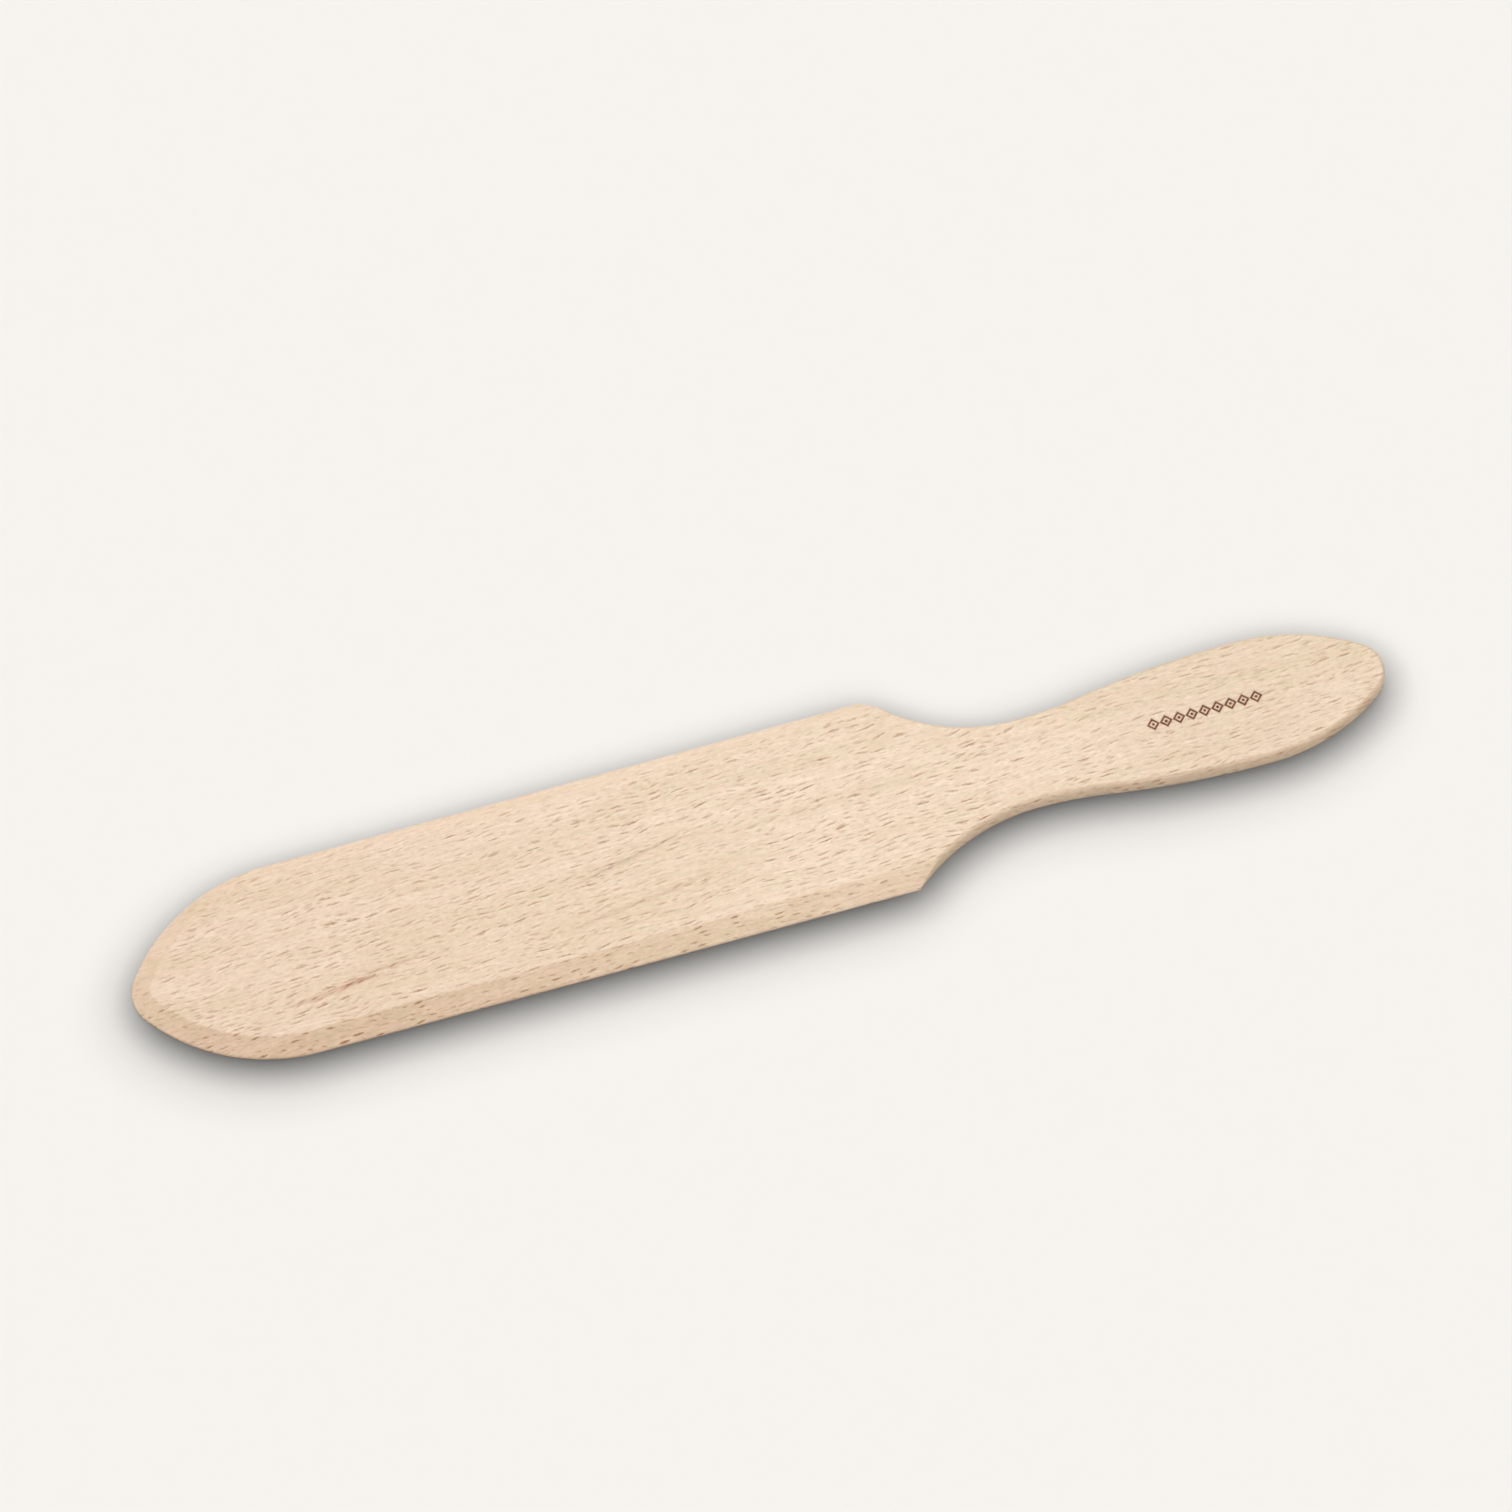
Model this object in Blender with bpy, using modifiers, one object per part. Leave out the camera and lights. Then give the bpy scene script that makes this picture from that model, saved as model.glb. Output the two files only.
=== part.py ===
"""Crepe spatula: one flat piece of beech, with a round-nosed blade and a waisted handle.

Frame: metres, +X from the blade's nose to the end of the handle, +Y across the blade, +Z up out of
the bevelled face.  The underside lies on z = 0, and the origin is below the middle of the blade's
width and of the overall length.
"""
import math

import bmesh
import bpy

# Plan, measured from the nose
LENGTH = 0.300
BLADE_WIDTH = 0.0491         # at the shoulders
SIDE_TAPER = 0.0005         # how much nearer the middle each side is where it leaves the nose
NOSE_RADIUS = 0.0085
FLANK_LENGTH = 0.0380       # nose to where the blade's sides run straight
SHOULDER = 0.1809           # nose to the corners where the blade ends
NECK = 0.2133               # nose to the narrowest place
NECK_WIDTH = 0.0210
GRIP = 0.2683               # nose to the handle's widest place
GRIP_WIDTH = 0.0300
GRIP_END_RADIUS = 0.0072
WAIST_SHARE = 0.30          # share of the waist's two radii that the hollow one has
HANDLE_OFFSET = -0.0020     # the handle's centre line lies this far off the blade's

# Section
THICKNESS = 0.0052
NOSE_THICKNESS = 0.0032     # the blade thins towards the nose
RIM_HEIGHT = 0.0008         # upright rim left below the bevel
BEVEL_WIDTH = 0.0044        # seen in plan
EASED_EDGE = 0.00035        # sanded edges

# Fineness of the arcs, and how far the shaping solid reaches past the board
ARC_STEPS = 10
SIDE_STEPS = 10
MARGIN = 0.002
WELD_DISTANCE = 0.00003

TIP_X = -LENGTH / 2
END_X = LENGTH / 2
SHOULDER_X = TIP_X + SHOULDER
HALF_BLADE = BLADE_WIDTH / 2


def arc(centre, radius, start, end, steps=ARC_STEPS):
    """Points along a circle's arc, from one angle to another."""
    angles = [start + (end - start) * k / steps for k in range(steps + 1)]
    return [(centre[0] + radius * math.cos(a), centre[1] + radius * math.sin(a)) for a in angles]


def round_end(reach, half_width, nose_radius):
    """Half of a round end with its apex at (0, 0): a nose arc that runs into a larger flank arc.

    The flank arc touches the nose arc from outside and is level at (reach, half_width).
    """
    flank_radius = ((reach - nose_radius) ** 2 + half_width ** 2 - nose_radius ** 2) / (
        2 * (half_width - nose_radius))
    flank_centre = (reach, half_width - flank_radius)
    meeting = math.atan2(-flank_centre[1], nose_radius - flank_centre[0])
    nose = arc((nose_radius, 0), nose_radius, math.pi, meeting)
    flank = arc(flank_centre, flank_radius, meeting, math.pi / 2)
    return nose + flank[1:]


def neck_arc(neck_half_width):
    """The hollow from the blade's corner down to the neck, on one circle that is level at the neck."""
    run = NECK - SHOULDER
    drop = HALF_BLADE - neck_half_width
    radius = (run ** 2 + drop ** 2) / (2 * drop)
    centre = (TIP_X + NECK, neck_half_width + radius)
    corner = math.atan2(HALF_BLADE - centre[1], -run)
    return arc(centre, radius, corner, -math.pi / 2)


def waist(neck_half_width, grip_half_width):
    """From the neck out to the grip: a hollow arc and a full arc that touch, level at both ends."""
    run = GRIP - NECK
    rise = grip_half_width - neck_half_width
    radii = (run ** 2 + rise ** 2) / (2 * rise)
    hollow = radii * WAIST_SHARE
    full = radii - hollow
    hollow_centre = (TIP_X + NECK, neck_half_width + hollow)
    full_centre = (TIP_X + GRIP, grip_half_width - full)
    meeting = math.atan2(full_centre[1] - hollow_centre[1], run)
    return (arc(hollow_centre, hollow, -math.pi / 2, meeting)
            + arc(full_centre, full, meeting + math.pi, math.pi / 2)[1:])


def board_side(side):
    """One side of the outline, from the nose to the end of the handle; side is 1 or -1."""
    offset = side * HANDLE_OFFSET
    neck_half_width = NECK_WIDTH / 2 + offset
    grip_half_width = GRIP_WIDTH / 2 + offset
    blade = [(TIP_X + x, y)
             for x, y in round_end(FLANK_LENGTH, HALF_BLADE - SIDE_TAPER, NOSE_RADIUS)]
    handle = neck_arc(neck_half_width) + waist(neck_half_width, grip_half_width)[1:]
    end = [(END_X - x, y + offset)
           for x, y in round_end(LENGTH - GRIP, GRIP_WIDTH / 2, GRIP_END_RADIUS)]
    return [(x, side * y) for x, y in blade + handle + end[-2::-1]]


def blade_former_side(inset):
    """The blade's side alone, drawn in by inset, with its straight run carried past the handle."""
    nose = [(TIP_X + inset + x, y) for x, y in round_end(
        FLANK_LENGTH - inset, HALF_BLADE - SIDE_TAPER - inset, NOSE_RADIUS - inset)]
    straight = [(TIP_X + FLANK_LENGTH + (SHOULDER - FLANK_LENGTH) * k / SIDE_STEPS,
                 HALF_BLADE - SIDE_TAPER * (1 - k / SIDE_STEPS) - inset)
                for k in range(1, SIDE_STEPS + 1)]
    return nose + straight + [(END_X + MARGIN, HALF_BLADE - inset)]


def top_height(x):
    """Height of the upper face: level on the handle, falling evenly from the shoulders to the nose."""
    share = min(max((x - TIP_X) / SHOULDER, 0), 1)
    return NOSE_THICKNESS + (THICKNESS - NOSE_THICKNESS) * share


def collection(name):
    made = bpy.data.collections.new(name)
    bpy.context.scene.collection.children.link(made)
    return made


def make_board(parts):
    """The outline sawn from a flat board, left thicker than the finished piece."""
    outline = board_side(1) + board_side(-1)[-2:0:-1]
    height = THICKNESS + MARGIN
    curve = bpy.data.curves.new("board_outline", "CURVE")
    curve.dimensions = "2D"
    curve.fill_mode = "BOTH"
    curve.extrude = height / 2
    spline = curve.splines.new("POLY")
    spline.points.add(len(outline) - 1)
    for point, (x, y) in zip(spline.points, outline):
        point.co = (x, y, 0, 1)
    spline.use_cyclic_u = True
    drawn = bpy.data.objects.new("board_outline", curve)
    parts.objects.link(drawn)
    drawn.location.z = height / 2
    bpy.context.view_layer.update()

    mesh = bpy.data.meshes.new_from_object(drawn.evaluated_get(bpy.context.evaluated_depsgraph_get()))
    board = bpy.data.objects.new("spatula", mesh)
    board.matrix_world = drawn.matrix_world
    parts.objects.link(board)
    bpy.data.objects.remove(drawn)
    work = bmesh.new()
    work.from_mesh(mesh)
    bmesh.ops.remove_doubles(work, verts=work.verts, dist=0.00001)
    work.to_mesh(mesh)
    work.free()
    return board


def make_former(cutters):
    """The space above and beside which wood is taken off: the bevel all round the blade, and the top.

    Its sides are a loft between the blade's outline at two insets.  The bevel is carried on outside
    the board, so it leaves the board's own side standing as a rim of RIM_HEIGHT.
    """
    outer = blade_former_side(-MARGIN)
    inner = blade_former_side(BEVEL_WIDTH)
    outer += [(x, -y) for x, y in outer[:0:-1]]
    inner += [(x, -y) for x, y in inner[:0:-1]]

    work = bmesh.new()
    ridge = [work.verts.new((x, y, top_height(x))) for x, y in inner]
    skirt = []
    for (x, y), (inner_x, _) in zip(outer, inner):
        slope = (top_height(inner_x) - RIM_HEIGHT) / BEVEL_WIDTH
        skirt.append(work.verts.new((x, y, RIM_HEIGHT - MARGIN * slope)))
    floor = [work.verts.new((x, y, -2 * MARGIN)) for x, y in outer]
    count = len(ridge)
    for k in range(count):
        following = (k + 1) % count
        work.faces.new((skirt[k], skirt[following], ridge[following], ridge[k]))
        work.faces.new((floor[k], floor[following], skirt[following], skirt[k]))
    work.faces.new(floor)
    last = count // 2                       # the far corners, past the handle's end
    work.faces.new(ridge[last - 1:last + 3])
    work.faces.new(ridge[:last] + ridge[last + 2:])
    bmesh.ops.recalc_face_normals(work, faces=work.faces)
    mesh = bpy.data.meshes.new("blade_former")
    work.to_mesh(mesh)
    work.free()
    former = bpy.data.objects.new("blade_former", mesh)
    cutters.objects.link(former)
    former.hide_render = True
    former.display_type = "WIRE"
    return former


def beech():
    """Pale, bare sanded beech."""
    material = bpy.data.materials.new("beech")
    material.use_nodes = True
    shader = material.node_tree.nodes["Principled BSDF"]
    shader.inputs["Base Color"].default_value = (0.80, 0.64, 0.46, 1)
    shader.inputs["Roughness"].default_value = 0.62
    shader.inputs["Metallic"].default_value = 0.0
    return material


for old in list(bpy.data.objects):
    bpy.data.objects.remove(old)

parts = collection("crepe_spatula")
cutters = collection("cutters")

spatula = make_board(parts)
former = make_former(cutters)
spatula.data.materials.append(beech())

shaped = spatula.modifiers.new("shaped", "BOOLEAN")
shaped.operation = "INTERSECT"
shaped.solver = "EXACT"
shaped.object = former

joined = spatula.modifiers.new("joined", "WELD")
joined.merge_threshold = WELD_DISTANCE

eased = spatula.modifiers.new("eased", "BEVEL")
eased.limit_method = "ANGLE"
eased.angle_limit = math.radians(26)
eased.width = EASED_EDGE
eased.segments = 2

spatula.data.shade_smooth()
spatula.data.set_sharp_from_angle(angle=math.radians(25))
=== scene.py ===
"""Crepe spatula in beech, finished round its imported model.

Metres throughout.  +X runs from the blade's nose to the end of the handle, +Y across to the far
side, and +Z up out of the bevelled face.
"""

import math

import bmesh
import bpy
import numpy as np
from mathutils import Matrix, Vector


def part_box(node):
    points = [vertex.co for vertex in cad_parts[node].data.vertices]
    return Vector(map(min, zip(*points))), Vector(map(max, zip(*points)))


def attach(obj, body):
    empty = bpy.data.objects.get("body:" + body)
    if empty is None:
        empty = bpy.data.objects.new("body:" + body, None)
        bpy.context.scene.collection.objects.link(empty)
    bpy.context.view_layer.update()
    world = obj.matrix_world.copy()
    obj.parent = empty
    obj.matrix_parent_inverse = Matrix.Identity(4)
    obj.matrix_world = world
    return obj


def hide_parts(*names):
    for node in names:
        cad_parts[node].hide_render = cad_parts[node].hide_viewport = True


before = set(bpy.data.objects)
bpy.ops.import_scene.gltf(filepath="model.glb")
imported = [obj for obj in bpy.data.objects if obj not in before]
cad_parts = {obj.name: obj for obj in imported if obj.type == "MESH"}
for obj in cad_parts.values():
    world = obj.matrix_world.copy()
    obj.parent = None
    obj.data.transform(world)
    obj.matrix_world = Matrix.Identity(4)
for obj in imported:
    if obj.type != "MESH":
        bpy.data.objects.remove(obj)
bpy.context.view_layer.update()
board_low, board_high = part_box("spatula")


# ---- The board --------------------------------------------------------------------------------
# The whole spatula is one piece of beech, sawn from a flat board.  Its outline is a round nose, two
# straight sides, a hollow arc in from each corner to the neck, and a handle that swells to the grip
# and closes in a round end.  The blade is bevelled on one face only, and every edge is sanded.

tip_x = board_low[0]
end_x = board_high[0]
half_blade = (board_high[1] - board_low[1]) / 2
thickness = board_high[2] - board_low[2]

# The outline.
nose_radius = 0.0085
flank_x = tip_x + 0.038             # from here the sides run straight
side_taper = 0.0005                 # each side leaves the nose this much nearer the middle
shoulder_x = tip_x + 0.1809
neck_x = tip_x + 0.2133
neck_half = 0.0105
grip_x = tip_x + 0.2683
grip_half = 0.0150
grip_end_radius = 0.0072
waist_share = 0.30                  # the hollow arc's share of the waist
handle_y = -0.0020                  # the handle's centre line

# The worked edge.
nose_thickness = 0.0032
rim_height = 0.0008                 # upright wall left below the bevel
bevel_width = 0.0044
handle_round = 0.0006               # width of the sanded edge along the handle
sanding = 0.00035                   # how far the ridge's sanding reaches along each face
brow_sanding = sanding * 1.2
foot_sanding = sanding * 0.45
longest_reach = 0.46                # the largest share of a face that one sanded corner takes
face_margin = 0.0006                # from the ridge to the first point on the flat face
under_margin = 0.0012               # from the foot to the first point on the underside

# How many stations lie along each stretch of the outline: close together round the corner, and
# under the ornament on the handle.
nose_stations, flank_stations = 16, 44
end_stations, swell_stations = 22, 150
corner_from_x, corner_to_x = shoulder_x - 0.001, shoulder_x + 0.009
ornament_from_x = tip_x + 0.2430
level_xs = np.concatenate([np.linspace(start, finish, count)[1:] for start, finish, count in (
    (flank_x, corner_from_x, 70), (corner_from_x, corner_to_x, 51),
    (corner_to_x, ornament_from_x, 50), (ornament_from_x, grip_x, 172))])

# How many points lie round each sanded corner, and which column of the edge is which.
ridge_points, brow_points, foot_points = 7, 7, 6
brow_column = 1 + ridge_points + 1
rim_column = brow_column + brow_points - 2


def round_end(reach, half_width, small_radius, small_count, large_count):
    """Half of a round end from its apex at (0, 0), and the unit vectors that point into the wood.

    A small arc about (small_radius, 0) touches a larger arc that is level at (reach, half_width).
    Each point is its arc's centre plus the radius times the cosine and sine of an even run of
    angles, and the vector into the wood points back at that centre.
    """
    large_radius = ((reach - small_radius) ** 2 + half_width ** 2 - small_radius ** 2) / (
        2 * (half_width - small_radius))
    large_centre = np.array([reach, half_width - large_radius])
    meeting = math.atan2(-large_centre[1], small_radius - large_centre[0])
    angle = np.concatenate([np.linspace(math.pi, meeting, small_count),
                            np.linspace(meeting, math.pi / 2, large_count + 1)[1:]])
    on_small = (np.arange(len(angle)) < small_count)[:, None]
    outward = np.stack([np.cos(angle), np.sin(angle)], axis=1)
    centre = np.where(on_small, [small_radius, 0.0], large_centre)
    return centre + np.where(on_small, small_radius, large_radius) * outward, -outward


def rim_distance(x, side):
    """How far the rim stands from the blade's centre line at x, from the flank to the grip.

    An even slope out to the corner, then a hollow circle that is level at the neck, then a hollow
    and a full circle that touch each other and are level at the neck and at the grip.
    """
    narrow, wide = neck_half + side * handle_y, grip_half + side * handle_y
    drop = half_blade - narrow
    corner_radius = ((neck_x - shoulder_x) ** 2 + drop ** 2) / (2 * drop)
    both_radii = ((grip_x - neck_x) ** 2 + (wide - narrow) ** 2) / (2 * (wide - narrow))
    hollow = both_radii * waist_share
    full = both_radii - hollow
    touch_x = neck_x + (grip_x - neck_x) * waist_share

    def fall(radius, run):
        return radius - np.sqrt(np.maximum(radius ** 2 - run ** 2, 0))

    straight = half_blade - side_taper * (shoulder_x - x) / (shoulder_x - flank_x)
    return np.select([x <= shoulder_x, x <= neck_x, x <= touch_x],
                     [straight, narrow + fall(corner_radius, x - neck_x),
                      narrow + fall(hollow, x - neck_x)], wide - fall(full, x - grip_x))


def top_height(x):
    """The bevelled face's height: a straight slope from the nose to the corners, then level."""
    return nose_thickness + (thickness - nose_thickness) * np.clip(
        (x - tip_x) / (shoulder_x - tip_x), 0, 1)


def rounded(before, corner, after, reach, steps):
    """Sanded corners: the curve (1-t)^2 a + 2t(1-t) b + t^2 c in every section at once.

    b is the corner, and a and c lie on the lines to the points before and after it, one reach away,
    or a little under half of the line where that is shorter.
    """
    to_before, to_after = before - corner, after - corner
    a = corner + to_before * np.minimum(
        reach / np.linalg.norm(to_before, axis=1, keepdims=True), longest_reach)
    c = corner + to_after * np.minimum(
        reach / np.linalg.norm(to_after, axis=1, keepdims=True), longest_reach)
    t = np.linspace(0, 1, steps)[None, :, None]
    return (1 - t) ** 2 * a[:, None] + 2 * t * (1 - t) * corner[:, None] + t ** 2 * c[:, None]


def worked_edge(side):
    """The edge of one side as a grid: a row for each station from the nose to the handle's end.

    A row runs from the bevelled face over the ridge, down the bevel, over the brow, down the wall,
    and round the foot to the underside.  A point is its rim point, moved into the wood by its inset
    and up by its height.  Where the rim draws in from the blade's side, the bevel is cut narrower
    by as much, and the wall rises along the bevel's slope.  Also gives how far each point is on the
    cut edge, 0 to 1, and how much the cut crosses the grain.
    """
    nose, nose_inward = round_end(flank_x - tip_x, half_blade - side_taper, nose_radius,
                                  nose_stations, flank_stations)
    end, end_inward = round_end(end_x - grip_x, grip_half, grip_end_radius,
                                end_stations, swell_stations)
    distance = rim_distance(level_xs, side)
    rim = np.concatenate([nose + [tip_x, 0], np.stack([level_xs, distance], axis=1),
                          (end * [-1, 1] + [end_x, side * handle_y])[::-1][1:]])
    inward = np.concatenate([nose_inward, np.tile([0.0, -1.0], (len(level_xs), 1)),
                             (end_inward * [-1, 1])[::-1][1:]])
    level = slice(len(nose), len(nose) + len(level_xs))
    slope = np.zeros(len(rim))
    slope[level] = np.gradient(distance, level_xs)
    stretch = np.sqrt(1 + slope ** 2)

    sunk = np.where(rim[:, 0] > shoulder_x, half_blade - rim[:, 1], 0)
    width = np.maximum(bevel_width - sunk, handle_round * stretch)
    crest_z = top_height(rim[:, 0] + inward[:, 0] * width)
    wall_z = np.minimum(rim_height + sunk * (crest_z - rim_height) / bevel_width,
                        crest_z - handle_round)
    nothing = np.zeros(len(rim))
    inner = width + face_margin
    face = np.stack([inner, top_height(rim[:, 0] + inward[:, 0] * inner)], axis=1)
    crest = np.stack([width, crest_z], axis=1)
    brow = np.stack([nothing, wall_z], axis=1)
    foot = np.stack([nothing, nothing], axis=1)
    under = np.stack([nothing + under_margin, nothing], axis=1)
    run = np.concatenate([face[:, None], rounded(face, crest, brow, sanding, ridge_points),
                          (crest * 0.5 + brow * 0.5)[:, None],
                          rounded(crest, brow, foot, brow_sanding, brow_points),
                          rounded(brow, foot, under, foot_sanding, foot_points),
                          under[:, None]], axis=1)
    flat = rim[:, None] + inward[:, None] * run[:, :, :1]
    points = np.concatenate([flat * [1, side], run[:, :, 1:]], axis=2)

    on_cut = np.concatenate([[0], np.linspace(0, 1, ridge_points), np.ones(1 + brow_points),
                             np.linspace(1, 0, foot_points), [0]])
    on_cut = np.tile(on_cut, (len(rim), 1))
    across = on_cut * np.abs(inward[:, :1])
    across[level] = on_cut[level] * (np.abs(slope) / stretch)[level, None]
    return points, on_cut, across


# The ornament on the handle's face: a row of small open lozenges, each round a dot, burnt in with a
# hot stamp, which leaves a dark brown line sunk a tenth of a millimetre into the wood.
stamp_x = tip_x + 0.2565
stamp_y = handle_y
stamp_pitch = 0.00312
stamp_count = 9
outermost = stamp_count // 2        # the end lozenges' place, counted from the middle one
lozenge_half_x = 0.00124
lozenge_half_y = 0.00124
stamp_line = 0.00018                # half the width of a burnt line
dot_radius = 0.00030
stamp_depth = 0.00010


def stamped(x, y):
    """1 inside the burnt lines and 0 outside, from the distance to the nearest of them.

    x is folded to the nearest lozenge.  The outline lies where |x|/a + |y|/b is 1, and a dot lies
    in each lozenge's middle.
    """
    turns = np.clip(np.round((x - stamp_x) / stamp_pitch), -outermost, outermost)
    dx = np.abs(x - stamp_x - turns * stamp_pitch)
    dy = np.abs(y - stamp_y)
    steepness = math.hypot(1 / lozenge_half_x, 1 / lozenge_half_y)
    outline = np.abs(dx / lozenge_half_x + dy / lozenge_half_y - 1) / steepness - stamp_line
    dot = np.hypot(dx, dy) - dot_radius
    return (np.minimum(outline, dot) < 0).astype(float)


# The board's skin: both worked edges, joined across the face and the underside.  The face has a band
# of fine squares along its middle, for the ornament.
ornament_band = 0.062               # half the band's width, as a share of the face's
band_points, side_points, under_points = 23, 9, 12
weld_distance = 0.000001            # closes the nose, the handle's end and the seams
fine_shares = np.linspace(-ornament_band, ornament_band, band_points) + 0.5
face_shares = np.concatenate([np.linspace(0, fine_shares[0], side_points)[1:-1], fine_shares,
                              np.linspace(fine_shares[-1], 1, side_points)[1:-1]])
under_shares = np.linspace(0, 1, under_points)[1:-1]


def joined(start, finish, shares):
    """Points that divide each section's straight line from start to finish in these shares."""
    s = shares[None, :, None]
    return start[:, None] * (1 - s) + finish[:, None] * s


far_edge, far_cut, far_across = worked_edge(1)
near_edge, near_cut_shade, near_across = worked_edge(-1)
face = joined(near_edge[:, 0], far_edge[:, 0], face_shares)
face[:, :, 2] -= stamp_depth * stamped(face[:, :, 0], face[:, :, 1])
underside = joined(far_edge[:, -1], near_edge[:, -1], under_shares)
surface = np.concatenate([far_edge, underside, near_edge[:, ::-1], face], axis=1)
stations, around = surface.shape[:2]


def for_all(far, near):
    """One value for each point of the surface, from the two edges' values, and 0 on the faces."""
    return np.concatenate([far, np.zeros((stations, len(under_shares))), near[:, ::-1],
                           np.zeros((stations, len(face_shares)))], axis=1).ravel()


number = np.arange(stations * around).reshape(stations, around)
beside = np.roll(number, -1, axis=1)
quads = np.stack([number[:-1], number[1:], beside[1:], beside[:-1]], axis=-1).reshape(-1, 4)
board_mesh = bpy.data.meshes.new("beech_board")
board_mesh.from_pydata(surface.reshape(-1, 3), [], quads.tolist())
for name, values in (("cut_edge", for_all(far_cut, near_cut_shade)),
                     ("end_grain", for_all(far_across, near_across))):
    layer = board_mesh.attributes.new(name, "FLOAT", "POINT")
    layer.data.foreach_set("value", values.astype(np.float32))
shell = bmesh.new()
shell.from_mesh(board_mesh)
bmesh.ops.remove_doubles(shell, verts=shell.verts, dist=weld_distance)
shell.to_mesh(board_mesh)
shell.free()
board_mesh.shade_smooth()
board = bpy.data.objects.new("beech_board", board_mesh)
bpy.context.collection.objects.link(board)
even_shading = board.modifiers.new("even shading", "WEIGHTED_NORMAL")
even_shading.mode = "FACE_AREA"
even_shading.weight = 60


# The beech: pale, bare and sanded.  Its rays are thin plates that stand along the board and through
# its thickness, so they show as short dashes on the face, and as broader ones on a cut edge.
mm = 1000.0                         # millimetres in a metre: the wood's sizes are in millimetres


def put(tree, kind, values=(), **settings):
    """A new node with its properties set, and its inputs linked or given values."""
    node = tree.nodes.new(kind)
    for key, value in settings.items():
        setattr(node, key, value)
    for key, value in dict(values).items():
        if isinstance(value, bpy.types.NodeSocket):
            tree.links.new(value, node.inputs[key])
        else:
            node.inputs[key].default_value = value
    return node


def calc(tree, operation, *values):
    """The result of a Math node."""
    return put(tree, "ShaderNodeMath", enumerate(values), operation=operation).outputs[0]


def times(tree, first, *others):
    """The product of all the values."""
    for other in others:
        first = calc(tree, "MULTIPLY", first, other)
    return first


def less(tree, value, taken):
    """What is left of value when taken is taken away."""
    return calc(tree, "SUBTRACT", value, taken)


def either_way(tree, chance):
    """A chance from 0 to 1, spread from -1 to 1."""
    return calc(tree, "MULTIPLY_ADD", chance, 2.0, -1.0)


def ramp(tree, value, low, high, to_low=0.0, to_high=1.0):
    """value eased from low to high."""
    return put(tree, "ShaderNodeMapRange", {"Value": value, "From Min": low, "From Max": high,
                                            "To Min": to_low, "To Max": to_high},
               interpolation_type="SMOOTHSTEP").outputs[0]


def split(tree, place):
    """The three numbers of a vector."""
    return put(tree, "ShaderNodeSeparateXYZ", {0: place}).outputs


def combined(tree, x, y, z=0.0):
    """Three numbers as a vector."""
    return put(tree, "ShaderNodeCombineXYZ", {0: x, 1: y, 2: z}).outputs[0]


through = math.inf                  # a blot's size along an axis that it doesn't change along


def cloud(tree, place, size, detail, roughness=0.5):
    """Soft noise from 0 to 1 whose blots have this size, in millimetres along x, y and z."""
    scaled = put(tree, "ShaderNodeVectorMath", {0: place, 1: [1 / length for length in size]},
                 operation="MULTIPLY").outputs[0]
    return put(tree, "ShaderNodeTexNoise", {"Vector": scaled, "Scale": 1.0, "Detail": detail,
                                            "Roughness": roughness}).outputs[0]


def blend(tree, factor, first, second, blend_type="MIX"):
    """The colour between two, mixed by factor."""
    return put(tree, "ShaderNodeMix", {0: factor, 6: first, 7: second}, data_type="RGBA",
               blend_type=blend_type).outputs[2]


def colour(red, green, blue):
    """A colour seen as these display values from 0 to 255, as light."""
    c = np.array([red, green, blue]) / 255
    return (*np.where(c <= 0.04045, c / 12.92, ((c + 0.055) / 1.055) ** 2.4), 1.0)


def effect(name, inputs, outputs):
    """A new shader group that reads a Place and these numbers, and puts out these numbers."""
    tree = bpy.data.node_groups.new(name, "ShaderNodeTree")
    tree.interface.new_socket("Place", in_out="INPUT", socket_type="NodeSocketVector")
    for label, value in inputs:
        socket = tree.interface.new_socket(label, in_out="INPUT", socket_type="NodeSocketFloat")
        socket.default_value = value
    for label in outputs:
        tree.interface.new_socket(label, in_out="OUTPUT", socket_type="NodeSocketFloat")
    given = tree.nodes.new("NodeGroupInput").outputs
    result = tree.nodes.new("NodeGroupOutput").inputs
    return tree, given, result


# Rays in rows: each row is shifted by chance, and each of its cells holds one lens-shaped dash with
# a ragged edge, and with its own length, lean and depth of colour.  A pale line lies beside it.
# The pale line beside each dash is a painted highlight.
rays, given, result = effect(
    "rows of rays",
    [("Pitch Along", 5.0), ("Pitch Across", 1.6), ("Half Length", 1.9), ("Half Width", 0.26),
     ("Lean", 0.06), ("Lean Spread", 0.12), ("Softness", 0.14), ("Share", 0.75), ("Chance", 0.0)],
    ["Dash", "Sheen Line"])
row_shift = 37.0                    # the most cells that a row is shifted by
shortest, faintest = 0.3, 0.25      # as shares of the longest and of the darkest dash
sheen_offset = 1.6                  # in half widths of the dash
rag_size = (0.9, 0.35, through)
pitch_along, pitch_across, widest = given["Pitch Along"], given["Pitch Across"], given["Half Width"]
softness = given["Softness"]


def from_middle(at, cell, pitch):
    """How far a point is from the middle of its cell, in millimetres."""
    return times(rays, less(rays, less(rays, at, cell), 0.5), pitch)


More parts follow.
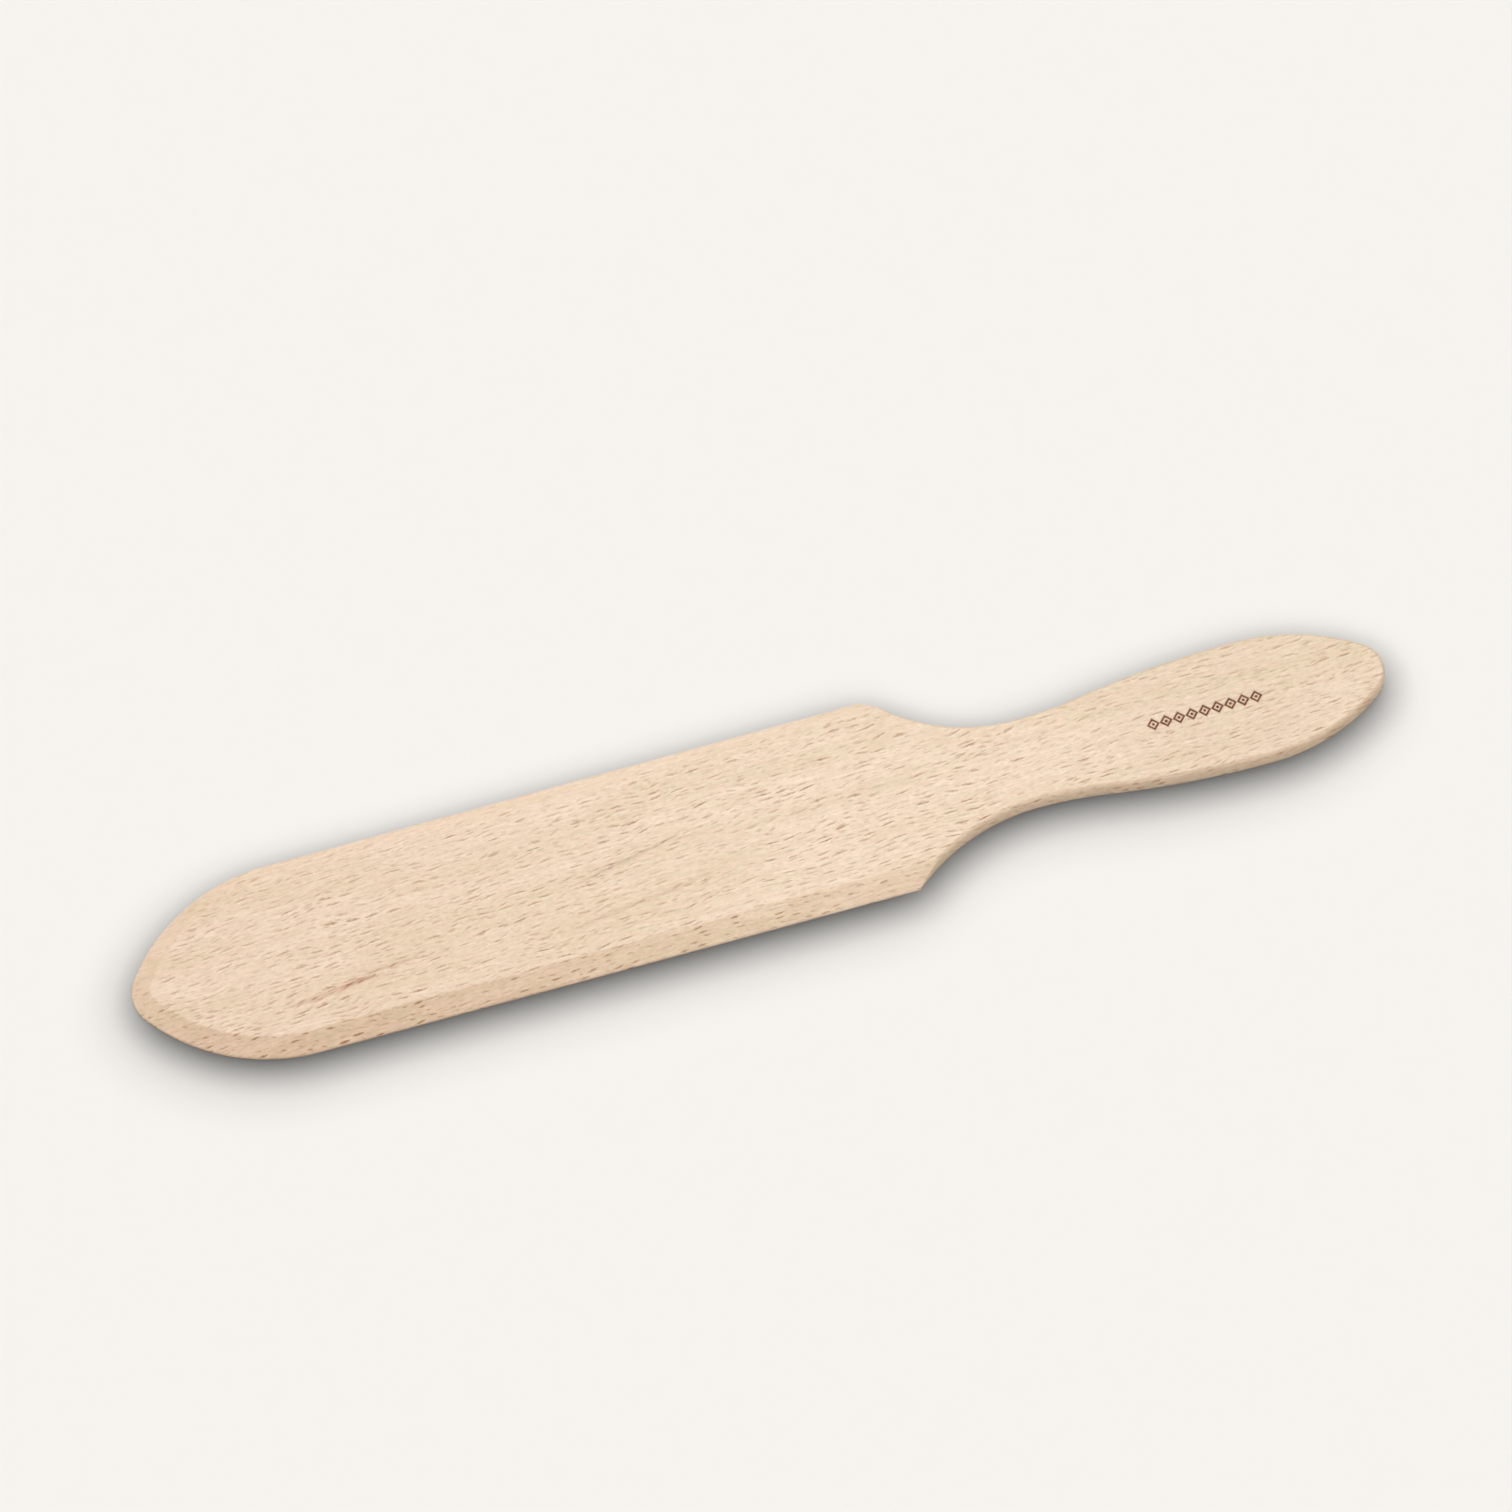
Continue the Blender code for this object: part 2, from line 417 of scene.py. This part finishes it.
x, y, z = split(rays, given["Place"])
row_at = calc(rays, "DIVIDE", y, pitch_across)
row = calc(rays, "FLOOR", row_at)
row_chance = put(rays, "ShaderNodeTexWhiteNoise", {"Vector": combined(rays, row, given["Chance"])},
                 noise_dimensions="2D").outputs["Value"]
cell_at = calc(rays, "ADD", calc(rays, "DIVIDE", x, pitch_along), times(rays, row_chance, row_shift))
cell = calc(rays, "FLOOR", cell_at)
cell_chance = put(rays, "ShaderNodeTexWhiteNoise", {
    "Vector": combined(rays, cell, row, given["Chance"])}, noise_dimensions="3D").outputs
length_chance, along_chance, across_chance = put(
    rays, "ShaderNodeSeparateColor", {0: cell_chance["Color"]}).outputs
half_length = times(rays, given["Half Length"],
                    calc(rays, "MULTIPLY_ADD", length_chance, 1 - shortest, shortest))
room = less(rays, times(rays, pitch_along, 0.5), half_length)
along = less(rays, from_middle(cell_at, cell, pitch_along),
             times(rays, room, either_way(rays, along_chance)))
across = less(rays, from_middle(row_at, row, pitch_across),
              times(rays, pitch_across, 0.5, less(rays, across_chance, 0.5)))
lean = calc(rays, "ADD", given["Lean"],
            times(rays, given["Lean Spread"], either_way(rays, cell_chance["Value"])))
leant = less(rays, across, times(rays, along, lean))
share_along = calc(rays, "DIVIDE", along, half_length)
belly = times(rays, widest, less(rays, 1.0, times(rays, share_along, share_along)))
rag = times(rays, widest, either_way(rays, cloud(rays, given["Place"], rag_size, 1.0)))
inside = calc(rays, "ADD", less(rays, belly, calc(rays, "ABSOLUTE", leant)), rag)
beside_it = less(rays, belly, calc(rays, "ABSOLUTE", calc(
    rays, "ADD", leant, times(rays, widest, sheen_offset))))
strength = times(rays, calc(rays, "LESS_THAN", across_chance, given["Share"]),
                 calc(rays, "MULTIPLY_ADD", length_chance, 1 - faintest, faintest))
outside = times(rays, softness, -0.5)
rays.links.new(times(rays, strength, ramp(rays, inside, outside, softness)), result["Dash"])
rays.links.new(times(rays, strength, ramp(rays, beside_it, outside, softness)),
               result["Sheen Line"])

# A single long streak from a starting point, thin at both ends: its half width goes as the root of
# 4s(1-s), where s is the share of its length.
streak, given, result = effect(
    "long streak",
    [("Start X", 0.0), ("Start Y", 0.0), ("Length", 25.0), ("Slope", 0.2), ("Half Width", 0.4),
     ("Softness", 0.3)],
    ["Streak"])
x, y, z = split(streak, given["Place"])
along = less(streak, x, given["Start X"])
off = less(streak, less(streak, y, given["Start Y"]), times(streak, along, given["Slope"]))
share = calc(streak, "DIVIDE", along, given["Length"])
taper = times(streak, 4.0, share, less(streak, 1.0, share))
taper = calc(streak, "POWER", calc(streak, "MAXIMUM", taper, 0.0), 0.5)
inside = less(streak, times(streak, given["Half Width"], taper), calc(streak, "ABSOLUTE", off))
softness = given["Softness"]
streak.links.new(times(streak, ramp(streak, inside, times(streak, softness, -0.5), softness),
                       calc(streak, "GREATER_THAN", taper, 0.0)), result["Streak"])

# The burn: the same lozenges and dots as the stamp sank, and the scorch round them.
burn, given, result = effect("burnt ornament", [], ["Burn", "Scorch"])
burn_none, burn_full = 0.10, -0.04  # millimetres out from a line's edge
scorch_none, scorch_full = 0.45, 0.0
face_depth = 0.0004                 # the burn stays this near the face
x, y, z = split(burn, given["Place"])
turn_at = calc(burn, "DIVIDE", less(burn, x, stamp_x * mm), stamp_pitch * mm)
turns = calc(burn, "MAXIMUM", calc(burn, "MINIMUM", calc(burn, "ROUND", turn_at), outermost),
             -outermost)
dx = calc(burn, "ABSOLUTE", times(burn, less(burn, turn_at, turns), stamp_pitch * mm))
dy = calc(burn, "ABSOLUTE", less(burn, y, stamp_y * mm))
steepness = math.hypot(1 / lozenge_half_x, 1 / lozenge_half_y) / mm
outline = calc(burn, "ADD", calc(burn, "DIVIDE", dx, lozenge_half_x * mm),
               calc(burn, "DIVIDE", dy, lozenge_half_y * mm))
outline = calc(burn, "DIVIDE", calc(burn, "ABSOLUTE", less(burn, outline, 1.0)), steepness)
dot = calc(burn, "SQRT", calc(burn, "ADD", times(burn, dx, dx), times(burn, dy, dy)))
nearest = calc(burn, "MINIMUM", less(burn, outline, stamp_line * mm),
               less(burn, dot, dot_radius * mm))
on_face = calc(burn, "GREATER_THAN", z, (thickness - face_depth) * mm)
burn.links.new(times(burn, on_face, ramp(burn, nearest, burn_none, burn_full)), result["Burn"])
burn.links.new(times(burn, on_face, ramp(burn, nearest, scorch_none, scorch_full)), result["Scorch"])

beech = bpy.data.materials.new("sanded beech")
beech.use_nodes = True
wood = beech.node_tree
wood.nodes.clear()
in_mm = put(wood, "ShaderNodeVectorMath", {
    0: put(wood, "ShaderNodeTexCoord").outputs["Object"], 1: (mm, mm, mm)},
    operation="MULTIPLY").outputs[0]
cut_edge = put(wood, "ShaderNodeAttribute", attribute_name="cut_edge").outputs["Fac"]
end_grain = put(wood, "ShaderNodeAttribute", attribute_name="end_grain").outputs["Fac"]


def in_group(group_name, **values):
    """A group placed in the beech, with its own values."""
    node = put(wood, "ShaderNodeGroup", node_tree=bpy.data.node_groups[group_name])
    for key, value in values.items():
        socket = node.inputs[key.replace("_", " ")]
        if isinstance(value, bpy.types.NodeSocket):
            wood.links.new(value, socket)
        else:
            socket.default_value = value
    return node.outputs


def tinted(base, mask, at_none, at_full):
    """The base colour times a tint that runs from one value to the other as the mask fills."""
    return blend(wood, 1.0, base, blend(wood, mask, (*at_none, 1), (*at_full, 1)), "MULTIPLY")


# The plates lean a little, and wander, so that no row is straight.
x, y, z = split(wood, in_mm)
lean_x, lean_y = 0.9, 0.55          # how far a plate leans for each millimetre up
wander_reach, ripple_reach = 5.0, 1.6
wander = times(wood, less(wood, cloud(wood, in_mm, (38, 12, through), 1.0), 0.5), wander_reach)
plate_x = calc(wood, "ADD", x, times(wood, z, lean_x))
plate_y = calc(wood, "ADD", calc(wood, "ADD", y, wander), times(wood, z, lean_y))
plates = combined(wood, plate_x, plate_y)
ripple = times(wood, cloud(wood, in_mm, (9, 6, through), 0.0), ripple_reach)
rippled = combined(wood, plate_x, calc(wood, "ADD", plate_y, ripple))

large = in_group("rows of rays", Place=rippled, Pitch_Along=4.9, Pitch_Across=1.35,
                 Half_Length=2.25, Half_Width=0.27, Lean=0.02, Lean_Spread=0.08, Softness=0.27,
                 Share=0.88, Chance=3.0)
small = in_group("rows of rays", Place=rippled, Pitch_Along=3.3, Pitch_Across=1.05,
                 Half_Length=1.3, Half_Width=0.20, Lean=0.05, Lean_Spread=0.14, Softness=0.22,
                 Share=0.75, Chance=11.0)
broad = in_group("rows of rays", Place=plates, Pitch_Along=4.4, Pitch_Across=1.3,
                 Half_Length=1.6, Half_Width=0.26, Lean=0.02, Lean_Spread=0.16, Softness=0.24,
                 Share=0.60, Chance=23.0)
chain = in_group("rows of rays", Place=in_mm, Pitch_Along=3.4, Pitch_Across=0.9,
                 Half_Length=1.7, Half_Width=0.26, Lean=0.30, Lean_Spread=0.08, Softness=0.20,
                 Share=1.0, Chance=31.0)

# Dashes on the face, stronger in some patches and growth bands, and fewer, plainer ones on the cut
# edge: strongest on the near side and towards the nose, and faint where the cut crosses the grain.
small_share, edge_share = 0.7, 0.35
patches = cloud(wood, in_mm, (16, 7, 16), 1.0)
bands = cloud(wood, rippled, (15, 1.7, through), 1.0)
patch_strength = times(wood, ramp(wood, patches, 0.34, 0.60, 0.65, 1.0),
                       ramp(wood, bands, 0.34, 0.58, 0.25, 1.2))
on_face = times(wood, calc(wood, "MAXIMUM", large["Dash"], times(wood, small["Dash"], small_share)),
                patch_strength)
on_edge = times(wood, calc(wood, "MAXIMUM", broad["Dash"], times(wood, on_face, edge_share)),
                ramp(wood, y, 6.0, -6.0, 0.35, 1.3), ramp(wood, x, -40.0, -125.0, 0.66, 1.15),
                calc(wood, "MULTIPLY_ADD", end_grain, -0.5, 1.0))
dashes = calc(wood, "ADD", times(wood, on_face, less(wood, 1.0, cut_edge)),
              times(wood, on_edge, cut_edge))
# Painted highlights beside the dashes, in the same patches and bands.
sheen_highlights = times(wood, calc(wood, "MAXIMUM", large["Sheen Line"],
                              times(wood, small["Sheen Line"], small_share)), patch_strength)

# The ground colour: slow drifts and blots of cream, straw and rose, then threads, specks and
# mottling of the fibres.
threads = ramp(wood, cloud(wood, in_mm, (9.0, 0.5, 3.0), 2.0, 0.55), 0.3, 0.7)
drift = ramp(wood, cloud(wood, in_mm, (55, 6, 20), 2.0), 0.36, 0.64)
blots = ramp(wood, cloud(wood, in_mm, (5, 1.8, 4), 2.0), 0.42, 0.64, 0.0, 0.55)
specks = cloud(wood, in_mm, (0.8, 0.42, 0.6), 2.0, 0.6)
mottling = cloud(wood, in_mm, (1.9, 0.8, 2), 1.0)
cream, straw, rose = colour(247, 227, 203), colour(239, 220, 192), colour(244, 218, 196)
fibre_brown, pale_sheen = colour(205, 175, 136), colour(255, 245, 232)
tone = blend(wood, drift, straw, cream)
tone = blend(wood, blots, tone, rose)
tone = blend(wood, times(wood, less(wood, 1.0, threads), 0.20), tone, fibre_brown)
tone = tinted(tone, ramp(wood, specks, 0.25, 0.75), (0.955, 0.952, 0.938), (1.04, 1.043, 1.058))
tone = tinted(tone, ramp(wood, mottling, 0.28, 0.72), (0.96, 0.956, 0.942), (1.04, 1.043, 1.058))
# Painted highlights: a pale sheen line beside each dash.
tone = blend(wood, times(wood, sheen_highlights, 0.40), tone, pale_sheen)

# Painted shade, not the wood's colour: the board darkens a little towards the nose and the handle's
# end, and on its cut edges.
plain = (1, 1, 1)
nose_shade = ramp(wood, x, 30.0, -145.0)
end_shade = ramp(wood, x, 55.0, 110.0)
near_cut_shade = times(wood, cut_edge, nose_shade, ramp(wood, y, -4.0, -15.0))
handle_cut_shade = times(wood, cut_edge, ramp(wood, x, 25.0, 50.0))
# Painted shade towards the nose, and a warm painted shade on every cut edge.
tone = tinted(tone, nose_shade, plain, (0.955, 0.925, 0.92))
tone = tinted(tone, cut_edge, plain, (1.0, 0.975, 0.95))
# More painted shade: on the near cut edge by the nose, towards the handle's end, and on the handle's
# cut edges.
tone = tinted(tone, near_cut_shade, plain, (0.90, 0.87, 0.86))
tone = tinted(tone, end_shade, (0.998, 0.992, 0.990), (0.95, 0.94, 0.925))
tone = tinted(tone, handle_cut_shade, plain, (0.88, 0.865, 0.85))

# The dashes themselves, darker and fuller on a cut edge.
dash_tone = blend(wood, cut_edge, colour(184, 140, 102), colour(166, 118, 80))
dash_amount = times(wood, dashes, calc(wood, "MULTIPLY_ADD", cut_edge, 0.17, 0.83))
tone = blend(wood, dash_amount, tone, dash_tone)

# Five long streaks in the blade, each a faint stain with darker dashes chained along it.
stain_share = 0.30
for start_x, start_y, length, slope, half_width, shade, amount in (
        (-47.0, -2.7, 28.0, 0.200, 0.50, colour(158, 118, 90), 0.90),
        (-49.0, -13.0, 36.0, 0.130, 0.70, colour(188, 140, 110), 0.60),
        (-118.0, -12.9, 25.0, 0.090, 0.75, colour(184, 122, 96), 0.90),
        (-104.0, -11.5, 9.0, 0.110, 0.60, colour(164, 98, 74), 1.00),
        (-98.0, -9.8, 15.0, 0.050, 0.50, colour(176, 120, 94), 0.80)):
    line = in_group("long streak", Place=in_mm, Start_X=start_x, Start_Y=start_y, Length=length,
                    Slope=slope, Half_Width=half_width, Softness=0.5)["Streak"]
    tone = blend(wood, times(wood, line, amount * stain_share), tone, shade)
    tone = blend(wood, times(wood, line, amount, chain["Dash"]), tone, shade)
end_grain_tan = colour(205, 168, 128)
tone = blend(wood, times(wood, end_grain, 0.10), tone, end_grain_tan)

mark = in_group("burnt ornament", Place=in_mm)
scorched = colour(190, 142, 106)
charred = blend(wood, ramp(wood, specks, 0.35, 0.65), colour(82, 38, 26), colour(132, 78, 56))
tone = blend(wood, times(wood, mark["Scorch"], 0.42), tone, scorched)
tone = blend(wood, times(wood, mark["Burn"], 0.95), tone, charred)

# Threads stand a little proud, dashes lie a little low, and are slightly smoother.
relief = less(wood, times(wood, threads, 0.25), times(wood, dashes, 0.5))
bump = put(wood, "ShaderNodeBump", {"Height": relief, "Strength": 0.25, "Distance": 0.00005})
roughness = ramp(wood, dashes, 0.0, 1.0, 0.62, 0.54)
skin = put(wood, "ShaderNodeBsdfPrincipled", {"Base Color": tone, "Roughness": roughness,
                                              "Normal": bump.outputs[0], "Specular IOR Level": 0.25})
put(wood, "ShaderNodeOutputMaterial", {"Surface": skin.outputs[0]})
board_mesh.materials.append(beech)

board.visible_diffuse = False       # or its own glow would fill the shadow on the table
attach(board, "root")
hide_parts("spatula")


# ---- The table top, the light and the camera --------------------------------------------------
# A plain warm white surface in an even pale room.  Two broad lamps high behind the board light the
# table, and a card of the board's outline, held over it out of sight, widens the shadow they cast.
# Three more soft lamps, from above, in front and behind, light the board alone.

warm_white = (0.921, 0.896, 0.854, 1)
table_reach = 30.0
table_drop = 0.00002                # keeps the table's skin clear of the underside
floor_mesh = bpy.data.meshes.new("table_top")
floor_mesh.from_pydata([(-table_reach, -table_reach, 0), (table_reach, -table_reach, 0),
                        (table_reach, table_reach, 0), (-table_reach, table_reach, 0)],
                       [], [(0, 1, 2, 3)])
floor = bpy.data.objects.new("table_top", floor_mesh)
floor.location.z = -table_drop
bpy.context.collection.objects.link(floor)
paper = bpy.data.materials.new("warm white paper")
paper.use_nodes = True
paper_skin = paper.node_tree.nodes["Principled BSDF"]
paper_skin.inputs["Base Color"].default_value = warm_white
paper_skin.inputs["Roughness"].default_value = 1.0
paper_skin.inputs["Specular IOR Level"].default_value = 0.0
floor_mesh.materials.append(paper)

# The card follows both rims, a little outside them.  Its far side stands where the top of the far
# wall is seen against the table.
viewing_azimuth, viewing_elevation = math.radians(-16.6), math.radians(66.0)
card_height = 0.020
card_margin = 0.0010
seen_past = np.array([-math.sin(viewing_azimuth), math.cos(viewing_azimuth)]) / math.tan(
    viewing_elevation)
far_rim = far_edge[:, rim_column, :2] + far_edge[:, brow_column, 2:] * seen_past
near_rim = near_edge[:, rim_column, :2]
card_rims = []
for rim, outward in ((far_rim, 1), (near_rim, -1)):
    tangent = np.gradient(rim, axis=0)
    normal = np.stack([-tangent[:, 1], tangent[:, 0]], axis=1)
    normal /= np.linalg.norm(normal, axis=1, keepdims=True)
    card_rims.append(rim + normal * card_margin * outward)
card_points = np.concatenate(card_rims)
card_points = np.column_stack([card_points, np.full(len(card_points), card_height)])
first = np.arange(stations - 1)
card_quads = np.stack([first, first + 1, first + 1 + stations, first + stations], axis=1)
card_mesh = bpy.data.meshes.new("shadow_card")
card_mesh.from_pydata(card_points, [], card_quads.tolist())
card = bpy.data.objects.new("shadow_card", card_mesh)
bpy.context.collection.objects.link(card)
card.visible_camera = card.visible_diffuse = card.visible_glossy = card.visible_transmission = False

# The room is seen behind the table, and gives no light.
room_light = bpy.data.worlds.new("pale room")
room_light.use_nodes = True
room = room_light.node_tree
room.nodes.clear()
seen = put(room, "ShaderNodeBackground", {"Color": warm_white, "Strength": 1.0})
unseen = put(room, "ShaderNodeBackground", {"Color": (0, 0, 0, 1), "Strength": 0.0})
either = put(room, "ShaderNodeMixShader", {
    0: put(room, "ShaderNodeLightPath").outputs["Is Camera Ray"],
    1: unseen.outputs[0], 2: seen.outputs[0]})
put(room, "ShaderNodeOutputWorld", {"Surface": either.outputs[0]})
bpy.context.scene.world = room_light


def soft_lamp(name, azimuth, elevation, spread, strength, tint, lit_object, *casters):
    """A broad light far off in that direction, in degrees, that lights one object only.

    Azimuth 0 is the near side and 180 the far side.  Only the casters shade it.
    """
    lamp = bpy.data.lights.new(name, "SUN")
    lamp.energy = strength * math.pi
    lamp.color = tint
    lamp.angle = math.radians(spread)
    holder = bpy.data.objects.new(name, lamp)
    holder.rotation_euler = (math.pi / 2 - math.radians(elevation), 0, math.radians(azimuth))
    bpy.context.collection.objects.link(holder)
    lit = bpy.data.collections.new(name + " lights")
    shading = bpy.data.collections.new(name + " shades")
    lit.objects.link(lit_object)
    for caster in casters:
        shading.objects.link(caster)
    holder.light_linking.receiver_collection = lit
    holder.light_linking.blocker_collection = shading


white, warm, cool = (1, 1, 1), (1.0, 0.965, 0.91), (0.98, 0.99, 1.0)
soft_lamp("table window", 148.5, 76.9, 61.0, 0.568, white, floor, card, board)
soft_lamp("table lamp", 184.5, 80.9, 33.0, 0.455, white, floor, card, board)
soft_lamp("board top", 0.0, 90.0, 90.0, 0.42, white, board, board)
soft_lamp("board front", 0.0, 35.0, 90.0, 0.455, warm, board, board)
soft_lamp("board back", 180.0, 35.0, 90.0, 0.57, cool, board, board)

viewing_distance = 2.0
back = np.array([math.sin(viewing_azimuth) * math.cos(viewing_elevation),
                 -math.cos(viewing_azimuth) * math.cos(viewing_elevation),
                 math.sin(viewing_elevation)])
lens = bpy.data.cameras.new("camera")
lens.sensor_width = 36.0
lens.lens = 206.4
lens.clip_start, lens.clip_end = 0.05, 100.0
lens.shift_x, lens.shift_y = -0.00357, 0.05024
camera = bpy.data.objects.new("camera", lens)
camera.location = back * viewing_distance
camera.rotation_euler = (math.pi / 2 - viewing_elevation, 0, viewing_azimuth)
bpy.context.collection.objects.link(camera)
bpy.context.scene.camera = camera
bpy.context.scene.view_settings.view_transform = "Standard"
bpy.context.scene.view_settings.look = "None"
